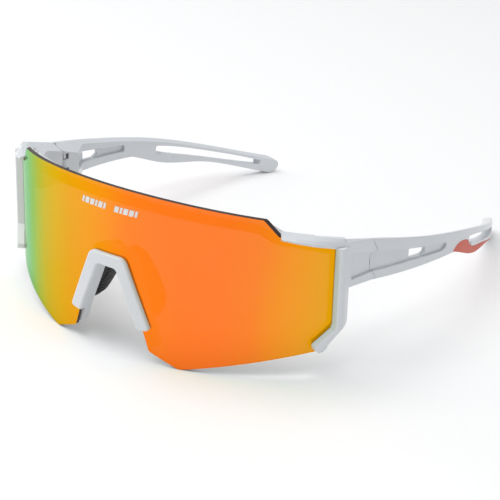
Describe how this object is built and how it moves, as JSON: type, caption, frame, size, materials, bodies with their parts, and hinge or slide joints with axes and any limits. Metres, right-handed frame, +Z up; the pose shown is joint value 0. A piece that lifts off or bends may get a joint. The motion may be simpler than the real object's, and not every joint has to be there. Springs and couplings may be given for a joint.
{
  "type": "sport sunglasses",
  "caption": "Wraparound shield sunglasses: mirrored one-piece lens, white half frame, clipped nose piece with rubber pads, and folding slotted temples with rubber grips.",
  "frame": {"origin": "centre of the object's footprint, on the surface that the glasses stand on", "axes": "+Z up, -Y the way the wearer looks, +X the wearer's left"},
  "size_m": [0.1444, 0.1666, 0.0579],
  "materials": {
    "mirror_lens": "mirror coated, fire orange turning gold and green",
    "white_frame": "satin white moulding",
    "black_rubber": "matt ribbed",
    "coral_rubber": "matt",
    "hinge_steel": "brushed",
    "screw_steel": "turned",
    "washer_nylon": "natural nylon"
  },
  "bodies": {
    "front": {"shield_lens": "mirror_lens", "front_frame": "white_frame", "nose_bridge": "white_frame", "nose_pad_carrier": "white_frame", "nose_pad_left": "black_rubber", "nose_pad_right": "black_rubber", "front_hinge_leaf_left": "hinge_steel", "front_hinge_leaf_right": "hinge_steel", "hinge_screw_left": "screw_steel", "hinge_screw_right": "screw_steel", "hinge_washers_left": "washer_nylon", "hinge_washers_right": "washer_nylon"},
    "left_temple": {"temple_left": "white_frame", "temple_grip_left": "coral_rubber", "temple_hinge_leaf_left": "hinge_steel"},
    "right_temple": {"temple_right": "white_frame", "temple_grip_right": "coral_rubber", "temple_hinge_leaf_right": "hinge_steel"}
  },
  "joints": [
    {"name": "left_fold", "type": "hinge", "parent": "front", "child": "left_temple", "pos_m": [0.0642, -0.0309, 0.0344], "axis": [0, 0, 1], "range_deg": [0, 94]},
    {"name": "right_fold", "type": "hinge", "parent": "front", "child": "right_temple", "pos_m": [-0.0642, -0.0309, 0.0344], "axis": [0, 0, -1], "range_deg": [0, 86]}
  ]
}
